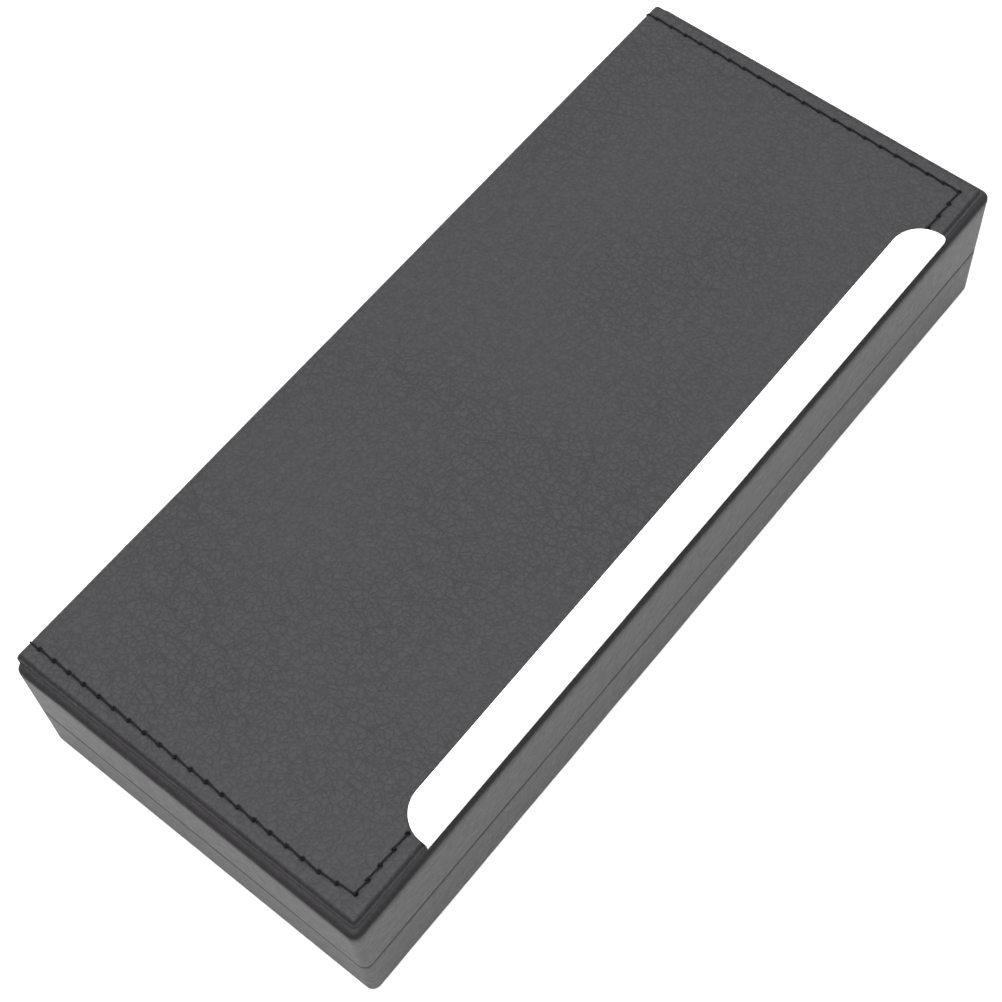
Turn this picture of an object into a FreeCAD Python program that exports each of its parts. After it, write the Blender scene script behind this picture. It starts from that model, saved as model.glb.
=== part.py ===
"""Hinged box that stores five pairs of glasses side by side, each in its own lined slot.

Two trays of grey board are wrapped in leatherette and meet at a seam. A raised panel lies on the lid. Its leather
runs over the back edge and down both trays, and is the hinge. A bent metal plate trims the panel's front edge.

Millimetres. X runs along the box, Y from the front to the back, Z up. The origin is under the middle of the box,
on the surface that it stands on.
"""

import FreeCAD
import Part

import os

V = FreeCAD.Vector

# The two trays
LENGTH = 380.0
DEPTH = 162.0  # from the front face to the back stitches
SEAM_Z = 28.0  # height of the seam and of the hinge's fold
SEAM_GAP = 0.5  # space between the two rims when the lid is shut
BODY_TOP = 63.5  # top of the lid's tray, on which the panel lies
CORNER_RADIUS = 3.5  # upright corners
TOP_EDGE_RADIUS = 3.0
BOTTOM_EDGE_RADIUS = 1.5
RIM_RADIUS = 0.9  # outer edge of each rim
RIM_INNER_RADIUS = 0.4

# Sheets
SKIN = 0.7  # leatherette round a tray
BOARD = 2.5  # walls, top and bottom of the trays
TURN_IN = 12.0  # leatherette folded over a rim and down its inner side
FACE_TURN_IN = 15.0  # leatherette folded onto the tray's outer face
SHEET_PLAY = 0.2  # between that and the underside sheet
PANEL_SKIN = 1.0  # leather of the panel and the hinge
PANEL_BOARD = 2.0
THREAD = 0.4  # how far a stitch stands proud

# Raised panel, inset from the tray's outer faces
SIDE_INSET = 3.0
FRONT_INSET = 2.4
PANEL_EDGE_RADIUS = 2.0  # upper edges and front corners
BACK_EDGE_RADIUS = 2.5  # where the leather turns down over the back

# Hinge
FOLD_HALF = 2.2  # half the height of the leather that is left free to fold
FOLD_SKIN = 0.5
FOLD_PLAY = 0.3  # between the fold and the lid's leather
HINGE_FOOT_Z = 2.5  # lower edge of the hinge leather

# Stitching
STITCH_PITCH = 7.45
STITCH_LENGTH = 6.0
STITCH_WIDTH = 0.8
STITCH_LEFT_X = -179.8
STITCH_RIGHT_X = 180.5
STITCH_FRONT_Y = -71.5
STITCH_FOOT_Z = 8.0
SEAM_MARGIN = 6.0  # stitches stop this far from the seam
PLATE_GAP = 1.0  # and this far from the plate's ends

# Plate
PLATE_SHEET = 0.8
PLATE_LEFT_X = -151.0
PLATE_RIGHT_X = 158.5
PLATE_FRONT_Y = -79.7
PLATE_BACK_Y = -64.3
PLATE_END_RADIUS = 13.0
PLATE_BEND_RADIUS = 1.5
LIP_CLEARANCE = 0.4  # between the lip's lower edge and the tray
TAPE = 0.2
TAPE_INSET = 2.3

# Insert and padding
INSERT_PLAY = 0.4
RAIL = 1.8
RAIL_TOP_Z = 33.0  # the rails rise past the seam and centre the lid
RAIL_EDGE_RADIUS = 0.6
SLOTS = 5
DIVIDER = 3.0
DIVIDER_TOP_Z = 31.0
DIVIDER_EDGE_RADIUS = 1.4
SLOT_PAD = 4.0
PAD_PLAY = 0.3
PAD_EDGE_RADIUS = 1.5
PAD_CORNER_RADIUS = 2.0
CEILING_PAD = 3.5
CEILING_EDGE_RADIUS = 0.5

# Magnets, in pockets in the front walls' rims
MAGNET_LENGTH = 20.0
MAGNET_HEIGHT = 2.0
MAGNET_X = 110.0

HALF_LENGTH = LENGTH / 2
FRONT_Y = -DEPTH / 2
BACK_Y = DEPTH / 2 - THREAD - PANEL_SKIN  # back face of the trays
WALL = SKIN + BOARD + SKIN  # wall with leatherette on both sides
BASE_RIM = SEAM_Z - SEAM_GAP / 2
LID_RIM = SEAM_Z + SEAM_GAP / 2
FLOOR_Z = SKIN + BOARD
CEILING_Z = BODY_TOP - SKIN - BOARD
PANEL_TOP = BODY_TOP + PANEL_BOARD + PANEL_SKIN
PANEL_HALF = HALF_LENGTH - SIDE_INSET
PANEL_FRONT_Y = FRONT_Y + FRONT_INSET
RAIL_INSET = WALL + INSERT_PLAY
CLEAR_INSET = RAIL_INSET + RAIL  # to the insides of the rails
SLOT_WIDTH = (LENGTH - 2 * CLEAR_INSET - (SLOTS - 1) * DIVIDER) / SLOTS
LEAST_CORNER = 0.6  # upright corners of what lies well inside the walls
FAR = 2 * LENGTH  # past every part, for blocks that only cut
TOUCH = 1e-4  # two places this close are the same


def block(x0, x1, y0, y1, z0, z1):
    """Upright box between two corners."""
    return Part.makeBox(x1 - x0, y1 - y0, z1 - z0, V(x0, y0, z0))


def is_upright(edge):
    box = edge.BoundBox
    return box.XLength < TOUCH and box.YLength < TOUCH and box.ZLength > TOUCH


def is_level_at(edge, z):
    box = edge.BoundBox
    return abs(box.ZMin - z) < TOUCH and abs(box.ZMax - z) < TOUCH


def is_along_x_at(edge, y, z):
    box = edge.BoundBox
    return is_level_at(edge, z) and abs(box.YMin - y) < TOUCH and abs(box.YMax - y) < TOUCH


def round_edges(shape, radius, chosen):
    """Fillets the edges for which chosen(edge) is true."""
    return shape.makeFillet(radius, [edge for edge in shape.Edges if chosen(edge)])


def rounded_block(x0, x1, y0, y1, z0, z1, radius):
    """Box with rounded upright corners."""
    return round_edges(block(x0, x1, y0, y1, z0, z1), radius, is_upright)


def tray_block(inset, z0, z1):
    """The trays' outline, inset from their outer faces, between two heights."""
    return rounded_block(
        inset - HALF_LENGTH,
        HALF_LENGTH - inset,
        FRONT_Y + inset,
        BACK_Y - inset,
        z0,
        z1,
        max(CORNER_RADIUS - inset, LEAST_CORNER),
    )


def ring(outer_inset, inner_inset, z0, z1):
    """Wall that follows the trays' outline, between two insets."""
    return tray_block(outer_inset, z0, z1).cut(tray_block(inner_inset, z0, z1))


def tray_wrap(rim, face, face_radius):
    """Leatherette round one tray: over the rim, down its inner side, and onto the outer face.

    rim and face are the heights of the tray's open and closed ends.
    """
    inward = 1 if face > rim else -1  # from the rim into the tray
    low, high = min(rim, face), max(rim, face)
    outer = tray_block(0, low, high)
    outer = round_edges(outer, face_radius, lambda e: is_level_at(e, face))
    outer = round_edges(outer, RIM_RADIUS, lambda e: is_level_at(e, rim))
    core = tray_core(rim, face, face_radius)
    mouth = tray_block(WALL, *sorted((rim - inward, rim + 2 * inward * SKIN)))
    window = tray_block(FACE_TURN_IN, *sorted((face + inward, face - 2 * inward * SKIN)))
    flap = ring(SKIN + BOARD, WALL, *sorted((rim + inward * SKIN, rim + inward * TURN_IN)))
    wrap = outer.cut(core).cut(mouth).cut(window).fuse(flap).removeSplitter()
    inner_edges = [e for e in wrap.Edges if is_level_at(e, rim) and is_inside(e, WALL)]
    return wrap.makeFillet(RIM_INNER_RADIUS, inner_edges)


def is_inside(edge, inset):
    """True for an edge no nearer to the tray's outer faces than inset."""
    box = edge.BoundBox
    return (
        box.XMax < HALF_LENGTH - inset + TOUCH
        and box.XMin > inset - HALF_LENGTH - TOUCH
        and box.YMax < BACK_Y - inset + TOUCH
        and box.YMin > FRONT_Y + inset - TOUCH
    )


def tray_core(rim, face, face_radius):
    """All that the leatherette of one tray goes round: its boards and its hollow."""
    inward = 1 if face > rim else -1
    core = tray_block(SKIN, *sorted((rim + inward * SKIN, face - inward * SKIN)))
    return round_edges(core, face_radius - SKIN, lambda e: is_level_at(e, face - inward * SKIN))


def tray_boards(rim, face, face_radius):
    """The five boards of one tray, as a dict: face, front, back, left and right."""
    inward = 1 if face > rim else -1
    core = tray_core(rim, face, face_radius)
    face_z = sorted((face, face - inward * (SKIN + BOARD)))
    wall_z = sorted((rim, face - inward * (SKIN + BOARD)))
    reach = SKIN + BOARD
    x_in = HALF_LENGTH - reach
    y_front = FRONT_Y + reach
    y_back = BACK_Y - reach
    cutters = {
        "face": block(-FAR, FAR, -FAR, FAR, *face_z),
        "front": block(-FAR, FAR, -FAR, y_front, *wall_z),
        "back": block(-FAR, FAR, y_back, FAR, *wall_z),
        "left": block(-FAR, -x_in, y_front, y_back, *wall_z),
        "right": block(x_in, FAR, y_front, y_back, *wall_z),
    }
    return {name: core.common(cutter) for name, cutter in cutters.items()}


def magnet(x, rim, inward):
    """Bar magnet that fills a pocket in a front wall's rim."""
    y0 = FRONT_Y + SKIN
    z = rim + inward * SKIN
    half = MAGNET_LENGTH / 2
    return block(x - half, x + half, y0, y0 + BOARD, *sorted((z, z + inward * MAGNET_HEIGHT)))


def tray_parts(prefix, face_name, rim, face, face_radius):
    """Boards, magnets and wrap of one tray, by node name."""
    inward = 1 if face > rim else -1
    boards = tray_boards(rim, face, face_radius)
    magnets = {
        "left": magnet(-MAGNET_X, rim, inward),
        "right": magnet(MAGNET_X, rim, inward),
    }
    for piece in magnets.values():
        boards["front"] = boards["front"].cut(piece)
    parts = {f"{prefix}_{face_name}": boards.pop("face")}
    parts.update({f"{prefix}_{side}_board": board for side, board in boards.items()})
    parts.update({f"{prefix}_magnet_{side}": piece for side, piece in magnets.items()})
    parts[f"{prefix}_leather_wrap"] = tray_wrap(rim, face, face_radius)
    return parts


def underside_sheet():
    """Sheet that closes the middle of the base's underside."""
    return tray_block(FACE_TURN_IN + SHEET_PLAY, 0, SKIN)


def rails():
    """The insert's four rails, which stand inside the walls and rise past the seam."""
    x_out = HALF_LENGTH - RAIL_INSET
    x_in = HALF_LENGTH - CLEAR_INSET
    front_out, front_in = FRONT_Y + RAIL_INSET, FRONT_Y + CLEAR_INSET
    back_out, back_in = BACK_Y - RAIL_INSET, BACK_Y - CLEAR_INSET
    spans = {
        "front": (-x_out, x_out, front_out, front_in),
        "back": (-x_out, x_out, back_in, back_out),
        "left": (-x_out, -x_in, front_in, back_in),
        "right": (x_in, x_out, front_in, back_in),
    }
    parts = {}
    for side, span in spans.items():
        rail = block(*span, FLOOR_Z, RAIL_TOP_Z)
        along_x = side in ("front", "back")
        parts[f"insert_{side}_rail"] = round_long_edges(rail, RAIL_EDGE_RADIUS, RAIL_TOP_Z, along_x)
    return parts


def round_long_edges(shape, radius, z, along_x):
    """Fillets the edges at height z that run along X, or along Y."""

    def chosen(edge):
        box = edge.BoundBox
        across = box.YLength if along_x else box.XLength
        return is_level_at(edge, z) and across < TOUCH

    return round_edges(shape, radius, chosen)


def slot_left(index):
    """Left side of a slot's clear space."""
    return CLEAR_INSET - HALF_LENGTH + index * (SLOT_WIDTH + DIVIDER)


def dividers():
    parts = {}
    for index in range(1, SLOTS):
        x1 = slot_left(index)
        divider = block(
            x1 - DIVIDER, x1, FRONT_Y + CLEAR_INSET, BACK_Y - CLEAR_INSET, FLOOR_Z, DIVIDER_TOP_Z
        )
        parts[f"divider_{index}"] = round_long_edges(
            divider, DIVIDER_EDGE_RADIUS, DIVIDER_TOP_Z, along_x=False
        )
    return parts


def slot_pads():
    """Padded floor of each slot."""
    parts = {}
    for index in range(SLOTS):
        x0 = slot_left(index)
        pad = rounded_block(
            x0 + PAD_PLAY,
            x0 + SLOT_WIDTH - PAD_PLAY,
            FRONT_Y + CLEAR_INSET + PAD_PLAY,
            BACK_Y - CLEAR_INSET - PAD_PLAY,
            FLOOR_Z,
            FLOOR_Z + SLOT_PAD,
            PAD_CORNER_RADIUS,
        )
        parts[f"slot_pad_{index + 1}"] = round_edges(
            pad, PAD_EDGE_RADIUS, lambda e: is_level_at(e, FLOOR_Z + SLOT_PAD)
        )
    return parts


def lid_linings():
    """Padded ceiling, and the lining between it and the leatherette turned over the rim."""
    inset = WALL + PAD_PLAY
    pad = tray_block(inset, CEILING_Z - CEILING_PAD, CEILING_Z)
    pad = round_edges(pad, CEILING_EDGE_RADIUS, lambda e: is_level_at(e, CEILING_Z - CEILING_PAD))
    lining = ring(SKIN + BOARD, WALL, LID_RIM + TURN_IN, CEILING_Z)
    return {"lid_ceiling_pad": pad, "lid_wall_lining": lining}


def panel_board():
    """Board under the panel's leather. Its upper edges are rounded inside the leather's."""
    top = BODY_TOP + PANEL_BOARD
    half = PANEL_HALF - PANEL_SKIN
    board = block(-half, half, PANEL_FRONT_Y + PANEL_SKIN, BACK_Y, BODY_TOP, top)
    board = round_edges(
        board,
        PANEL_EDGE_RADIUS - PANEL_SKIN,
        lambda e: is_level_at(e, top) and not is_along_x_at(e, BACK_Y, top),
    )
    return round_edges(
        board,
        BACK_EDGE_RADIUS - PANEL_SKIN,
        lambda e: is_along_x_at(e, BACK_Y, top),
    )


def is_panel_edge(edge, back):
    """Whether an edge of the panel's leather is a front corner or an upper edge other than the back one."""
    if is_upright(edge):
        return edge.BoundBox.YMax < 0
    return is_level_at(edge, PANEL_TOP) and not is_along_x_at(edge, back, PANEL_TOP)


def panel_leather():
    """Leather over the panel's board and its edges, and on down the lid's back."""
    back = BACK_Y + PANEL_SKIN
    sheet = block(-PANEL_HALF, PANEL_HALF, PANEL_FRONT_Y, back, BODY_TOP, PANEL_TOP)
    sheet = round_edges(sheet, PANEL_EDGE_RADIUS, lambda e: is_panel_edge(e, back))
    sheet = round_edges(sheet, BACK_EDGE_RADIUS, lambda e: is_along_x_at(e, back, PANEL_TOP))
    back_run = block(-PANEL_HALF, PANEL_HALF, BACK_Y, back, SEAM_Z + FOLD_HALF, BODY_TOP)
    return sheet.fuse(back_run).cut(panel_board()).removeSplitter()


def hinge_leather():
    """Hinge leather on the base's back, and the free fold that joins it to the lid's."""
    back = BACK_Y + PANEL_SKIN
    glued = block(-PANEL_HALF, PANEL_HALF, BACK_Y, back, HINGE_FOOT_Z, SEAM_Z - FOLD_HALF)
    middle = BACK_Y + PANEL_SKIN / 2
    fold = block(
        -PANEL_HALF,
        PANEL_HALF,
        middle - FOLD_SKIN / 2,
        middle + FOLD_SKIN / 2,
        SEAM_Z - FOLD_HALF,
        SEAM_Z + FOLD_HALF - FOLD_PLAY,
    )
    return {"base_hinge_leather": glued, "hinge_fold": fold}


def stitch_row(start, end, out):
    """Evenly spaced stitches from start to end, each standing proud along out."""
    run = end - start
    along = V(run).normalize()
    across = along.cross(out)
    count = max(1, round(run.Length / STITCH_PITCH))
    pitch = run.Length / count
    stitches = []
    for index in range(count):
        middle = start + along * (pitch * (index + 0.5))
        a = middle - along * (STITCH_LENGTH / 2) - across * (STITCH_WIDTH / 2)
        b = middle + along * (STITCH_LENGTH / 2) + across * (STITCH_WIDTH / 2) + out * THREAD
        low = V(min(a.x, b.x), min(a.y, b.y), min(a.z, b.z))
        high = V(max(a.x, b.x), max(a.y, b.y), max(a.z, b.z))
        stitches.append(block(low.x, high.x, low.y, high.y, low.z, high.z))
    return stitches


def lid_stitches():
    """Stitching along the panel's left, front and right, and down the lid's back."""
    top = PANEL_TOP
    back = BACK_Y + PANEL_SKIN
    up = V(0, 0, 1)
    rear = V(0, 1, 0)
    turn_y = back - BACK_EDGE_RADIUS
    turn_z = top - BACK_EDGE_RADIUS
    foot_z = SEAM_Z + SEAM_MARGIN
    front_left = V(STITCH_LEFT_X, STITCH_FRONT_Y, top)
    front_right = V(STITCH_RIGHT_X, STITCH_FRONT_Y, top)
    corner_gap = V(0, STITCH_WIDTH, 0)
    left_end = V(PLATE_LEFT_X - PLATE_GAP, STITCH_FRONT_Y, top)
    right_end = V(PLATE_RIGHT_X + PLATE_GAP, STITCH_FRONT_Y, top)
    stitches = stitch_row(front_left, left_end, up)
    stitches += stitch_row(right_end, front_right, up)
    for corner in (front_left, front_right):
        stitches += stitch_row(corner + corner_gap, V(corner.x, turn_y, top), up)
        stitches += stitch_row(V(corner.x, back, foot_z), V(corner.x, back, turn_z), rear)
    return Part.makeCompound(stitches)


def base_stitches():
    """Stitching round the hinge leather on the base's back."""
    back = BACK_Y + PANEL_SKIN
    rear = V(0, 1, 0)
    head_z = SEAM_Z - SEAM_MARGIN
    foot_left = V(STITCH_LEFT_X, back, STITCH_FOOT_Z)
    foot_right = V(STITCH_RIGHT_X, back, STITCH_FOOT_Z)
    stitches = stitch_row(foot_left, foot_right, rear)
    for foot in (foot_left, foot_right):
        stitches += stitch_row(foot + V(0, 0, STITCH_WIDTH), V(foot.x, back, head_z), rear)
    return Part.makeCompound(stitches)


def plate_outline(inset, z0, z1):
    """Upright block with the plate's plan: square front corners and large round back ones."""
    x0, x1 = PLATE_LEFT_X + inset, PLATE_RIGHT_X - inset
    y0, y1 = PLATE_FRONT_Y + inset, PLATE_BACK_Y - inset
    plan = block(x0, x1, y0, y1, z0, z1)
    return round_edges(
        plan,
        PLATE_END_RADIUS - inset,
        lambda e: is_upright(e) and e.BoundBox.YMin > y1 - TOUCH,
    )


def plate_and_tape():
    """Blank metal plate with its front edge bent down, and the tape under it."""
    under = PANEL_TOP + TAPE
    top = under + PLATE_SHEET
    lip_z = BODY_TOP + LIP_CLEARANCE
    y0 = PLATE_FRONT_Y
    flange = block(PLATE_LEFT_X, PLATE_RIGHT_X, y0, PLATE_BACK_Y, under, top)
    lip = block(PLATE_LEFT_X, PLATE_RIGHT_X, y0, y0 + PLATE_SHEET, lip_z, top)
    bent = flange.fuse(lip).removeSplitter()
    bent = round_edges(bent, PLATE_BEND_RADIUS, lambda e: is_along_x_at(e, y0, top))
    bent = round_edges(
        bent,
        PLATE_BEND_RADIUS - PLATE_SHEET,
        lambda e: is_along_x_at(e, y0 + PLATE_SHEET, under),
    )
    plate = bent.common(plate_outline(0, lip_z - 1, top + 1))
    tape = plate_outline(TAPE_INSET, PANEL_TOP, under)
    return {"front_plate": plate, "plate_tape": tape}


def all_parts():
    """Every node's shape, by name."""
    parts = {}
    parts.update(tray_parts("base", "bottom_board", BASE_RIM, 0, BOTTOM_EDGE_RADIUS))
    parts.update(tray_parts("lid", "top_board", LID_RIM, BODY_TOP, TOP_EDGE_RADIUS))
    parts["base_underside_sheet"] = underside_sheet()
    parts.update(rails())
    parts.update(dividers())
    parts.update(slot_pads())
    parts.update(lid_linings())
    parts["top_panel_board"] = panel_board()
    parts["top_panel_leather"] = panel_leather()
    parts.update(hinge_leather())
    parts["top_stitching"] = lid_stitches()
    parts["base_stitching"] = base_stitches()
    parts.update(plate_and_tape())
    return parts


os.makedirs("parts", exist_ok=True)
for name, shape in all_parts().items():
    shape.exportStep(f"parts/{name}.step")
    print(f"{name:24} solids {len(shape.Solids)}  volume {shape.Volume / 1000:.2f} cm3")
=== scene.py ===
"""Looks of the glasses organizer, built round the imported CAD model. Metres, in the model's own frame.

The lid's leather panel, its run over the back and the hinge are one sheet. The trays' wraps, the stitching,
the plate, the lining and the pads are modelled here. Boards, magnets and tape keep their CAD shapes.
"""

import math

import bmesh
import bpy
import numpy as np
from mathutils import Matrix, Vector, noise

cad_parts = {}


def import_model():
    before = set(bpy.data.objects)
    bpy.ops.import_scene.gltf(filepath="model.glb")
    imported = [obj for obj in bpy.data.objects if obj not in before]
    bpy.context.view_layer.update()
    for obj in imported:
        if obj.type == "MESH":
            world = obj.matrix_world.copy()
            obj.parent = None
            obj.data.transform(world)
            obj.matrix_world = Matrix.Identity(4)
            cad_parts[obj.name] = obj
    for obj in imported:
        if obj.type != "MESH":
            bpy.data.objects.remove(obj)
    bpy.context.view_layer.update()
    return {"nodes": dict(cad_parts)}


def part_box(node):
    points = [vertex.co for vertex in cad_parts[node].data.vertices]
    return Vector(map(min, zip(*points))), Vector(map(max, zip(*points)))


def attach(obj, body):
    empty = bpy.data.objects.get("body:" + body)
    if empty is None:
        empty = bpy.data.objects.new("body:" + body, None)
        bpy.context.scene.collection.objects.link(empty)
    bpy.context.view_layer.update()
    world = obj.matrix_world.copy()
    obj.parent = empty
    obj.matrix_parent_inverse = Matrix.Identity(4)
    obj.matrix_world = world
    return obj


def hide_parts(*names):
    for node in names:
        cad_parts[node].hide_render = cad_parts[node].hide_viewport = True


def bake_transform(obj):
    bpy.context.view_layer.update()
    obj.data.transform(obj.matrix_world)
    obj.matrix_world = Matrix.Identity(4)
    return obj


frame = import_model()

MM = 0.001

# Camera and light
CAMERA_AT = (-290.98 * MM, -268.14 * MM, 720.70 * MM)
CAMERA_TURN = (28.071, 2.767, -50.962)  # degrees
CAMERA_LENS = 74.12
CAMERA_SHIFT = (-0.0060, 0.0206)
FLOOR_HALF = 6.0
HORIZON = 0.4
ZENITH = 2.1
SOFTBOX_AT = (-0.6, -0.5, 1.7)
SOFTBOX_SIZE = 1.2
SOFTBOX_POWER = 9

# Sheets, as in the CAD source
SKIN = 0.7 * MM
WALL = 3.9 * MM  # board with leatherette on both sides
TURN_IN = 12.0 * MM
FACE_TURN_IN = 15.0 * MM
CORNER = 3.5 * MM
LEAST_CORNER = 0.6 * MM
RIM_RADIUS = 0.9 * MM
RIM_INNER_RADIUS = 0.4 * MM
TOP_EDGE_RADIUS = 3.0 * MM
BOTTOM_EDGE_RADIUS = 1.5 * MM
PANEL_EDGE = 2.0 * MM
PANEL_DROP = 3.0 * MM
BACK_EDGE = 2.5 * MM
SHEET = 0.95 * MM
FOLD_SHEET = 0.45 * MM
GROOVE_DEPTH = 0.28 * MM  # the hinge leather sinks a little into the seam
GROOVE_HALF = 1.5 * MM
PLATE_SHEET = 0.8 * MM
PLATE_BEND = 1.5 * MM
PLATE_END = 13.0 * MM  # radius of the plate's back corners
PLATE_EDGE = 0.14 * MM

# Points round the trays' plan
CORNER_STEPS = 8
SHORT_SIDE_STEPS = 76
LONG_SIDE_STEPS = 176
BACK_MIDDLE = 2 * (CORNER_STEPS + 1) + SHORT_SIDE_STEPS - 1 + LONG_SIDE_STEPS // 2

# Stitching
PITCH = 7.45 * MM
LEFT_X = -179.8 * MM
RIGHT_X = 180.5 * MM
FRONT_Y = -71.5 * MM
FOOT_Z = 8.0 * MM
SEAM_MARGIN = 6.0 * MM
HOLE = 1.0 * MM  # radius of the puckered dimple round a needle hole
HOLE_DEPTH = 0.5 * MM
ROW_DEPTH = 0.14 * MM  # of the shallow groove that the stitches pull along a row
ROW_HALF = 0.7 * MM
THREAD_RADIUS = 0.33 * MM
THREAD_SLANT = 0.28 * MM
CORNER_SHIFT = 1.8 * MM  # the last stitches before the front left corner wander inward
CORNER_REACH = 13.0 * MM

# Leather
PANEL_LEATHER = (0.0247, 0.0239, 0.0258)
WRAP_LEATHER = (0.0270, 0.0244, 0.0265)
SHADED_LEATHER = (0.0082, 0.0078, 0.0084)
HOLE_COLOUR = (0.0012, 0.0012, 0.0013)
LEATHER_SHINE = 0.5
LEATHER_IOR = 1.409
PANEL_RELIEF = 0.17 * MM
WRAP_RELIEF = 0.07 * MM
MOTTLE = 0.12  # how much the shine varies from place to place
EDGE_SHADE = 0.82  # how much darker the leather is on the turned edges
SHADE_MIDDLE = 3.9 * MM  # distance of the lid's darkened band from the start of its turned edge
SHADE_HALF = 3.3 * MM

SUEDE = (0.135, 0.130, 0.127)
FELT = (0.018, 0.018, 0.019)


# ---------------------------------------------------------------- numbers and meshes


def ripple(points, size, seed=0.0):
    """Smooth noise at each point, from about -1 to 1, with bumps about size across."""
    shift = Vector((7.3 * seed, 3.1 * seed, 5.7 * seed))
    return np.array([noise.noise(Vector(p) / size + shift) for p in points.reshape(-1, 3)])


def smooth_step(low, high, x):
    t = np.clip((x - low) / (high - low), 0, 1)
    return t * t * (3 - 2 * t)


def arc(centre, radius, start, end, steps):
    """Points on an arc, its ends among them. Angles in degrees."""
    angles = np.radians(np.linspace(start, end, steps + 1))
    return np.stack([centre[0] + radius * np.cos(angles), centre[1] + radius * np.sin(angles)], 1)


def straight(a, b, step):
    """Evenly spaced points from a to b, without a and b."""
    a, b = np.array(a, float), np.array(b, float)
    count = max(1, round(float(np.linalg.norm(b - a)) / step))
    return a + (b - a) * (np.arange(1, count) / count)[:, None]


def distances(points):
    """Distance of each point along a line of points."""
    steps = np.linalg.norm(np.diff(points, axis=0), axis=1)
    return np.concatenate([[0.0], np.cumsum(steps)])


def grid_faces(rows, columns, close_rows=False, close_columns=False, first=0):
    """Quads of a grid whose points are numbered row by row."""
    r = np.arange(rows if close_rows else rows - 1)[:, None]
    c = np.arange(columns if close_columns else columns - 1)[None, :]
    r2, c2 = (r + 1) % rows, (c + 1) % columns
    quads = np.stack(
        [r * columns + c, r * columns + c2, r2 * columns + c2, r2 * columns + c], -1
    )
    return (quads.reshape(-1, 4) + first).tolist()


def grid_normals(grid, close_rows=False, close_columns=False):
    """Unit normals of a grid of points."""

    def slope(axis, closed):
        if closed:
            return np.roll(grid, -1, axis) - np.roll(grid, 1, axis)
        return np.gradient(grid, axis=axis)

    normals = np.cross(slope(1, close_columns), slope(0, close_rows))
    return normals / np.maximum(np.linalg.norm(normals, axis=-1, keepdims=True), 1e-12)


def make_piece(name, points, faces, material, sharp=40, marks=None, flat=None):
    """Mesh object with smooth shading and sharp creases. Its rest place is stored for its patterns, and so is
    its place on the flat sheet, if it is cut from one."""
    mesh = bpy.data.meshes.new(name)
    points = np.asarray(points, float).reshape(-1, 3)
    mesh.from_pydata(points.tolist(), [], faces)
    mesh.materials.append(material)
    mesh.polygons.foreach_set("use_smooth", [True] * len(mesh.polygons))
    mesh.update()
    mesh.set_sharp_from_angle(angle=math.radians(sharp))
    store(mesh, "rest", "FLOAT_VECTOR", points)
    if flat is not None:
        store(mesh, "flat", "FLOAT_VECTOR", flat)
    for key, values in (marks or {}).items():
        store(mesh, key, "FLOAT", values)
    piece = bpy.data.objects.new(name, mesh)
    bpy.context.scene.collection.objects.link(piece)
    return piece


def store(mesh, key, kind, values):
    attribute = mesh.attributes.new(key, kind, "POINT")
    field = "vector" if kind == "FLOAT_VECTOR" else "value"
    attribute.data.foreach_set(field, np.asarray(values, np.float32).ravel())


def border_faces(rows, columns):
    """Quads that join the border of a grid to that of a like grid numbered after it."""
    count = rows * columns
    index = np.arange(count).reshape(rows, columns)
    border = np.concatenate([index[0, :-1], index[:-1, -1], index[-1, :0:-1], index[:0:-1, 0]])
    after = np.roll(border, -1)
    return np.stack([border, border + count, after + count, after], 1).tolist()


def shell(grid, thickness):
    """Points and faces of a closed sheet: the outer grid, the same moved inward, and its four edges."""
    rows, columns = grid.shape[:2]
    inner = grid - grid_normals(grid) * np.broadcast_to(thickness, (rows, columns))[..., None]
    count = rows * columns
    outer_faces = grid_faces(rows, columns)
    inner_faces = [face[::-1] for face in grid_faces(rows, columns, first=count)]
    faces = outer_faces + inner_faces + border_faces(rows, columns)
    return np.concatenate([grid.reshape(-1, 3), inner.reshape(-1, 3)]), faces


def face_outward(piece):
    """Turns the faces of a closed mesh so that they all look outward."""
    mesh = bmesh.new()
    mesh.from_mesh(piece.data)
    bmesh.ops.recalc_face_normals(mesh, faces=mesh.faces)
    mesh.to_mesh(piece.data)
    mesh.free()
    return piece


# ---------------------------------------------------------------- materials


def add(tree, kind, inputs=None, **settings):
    """Node with its settings, and its inputs set to values or linked to other nodes' outputs."""
    node = tree.nodes.new(kind)
    for key, value in settings.items():
        setattr(node, key, value)
    for key, value in (inputs or {}).items():
        if isinstance(value, bpy.types.NodeSocket):
            tree.links.new(value, node.inputs[key])
        else:
            node.inputs[key].default_value = value
    return node


def math_node(tree, operation, *values):
    return add(tree, "ShaderNodeMath", dict(enumerate(values)), operation=operation).outputs[0]


def remap(tree, value, low, high, to_low=0.0, to_high=1.0, smooth=False):
    inputs = {0: value, 1: low, 2: high, 3: to_low, 4: to_high}
    kind = "SMOOTHSTEP" if smooth else "LINEAR"
    return add(tree, "ShaderNodeMapRange", inputs, interpolation_type=kind).outputs[0]


def mix_colours(tree, factor, a, b):
    node = add(tree, "ShaderNodeMix", data_type="RGBA")
    for index, value in ((0, factor), (6, a), (7, b)):
        if isinstance(value, bpy.types.NodeSocket):
            tree.links.new(value, node.inputs[index])
        elif index == 0:
            node.inputs[index].default_value = value
        else:
            node.inputs[index].default_value = (*value, 1.0)
    return node.outputs[2]


def new_material(name, **values):
    """Material with its shader's constant sockets set. Keys use _ for a space."""
    material = bpy.data.materials.new(name)
    material.use_nodes = True
    tree = material.node_tree
    shader = tree.nodes["Principled BSDF"]
    for key, value in values.items():
        shader.inputs[key.replace("_", " ")].default_value = value
    return material, tree, shader


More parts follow.
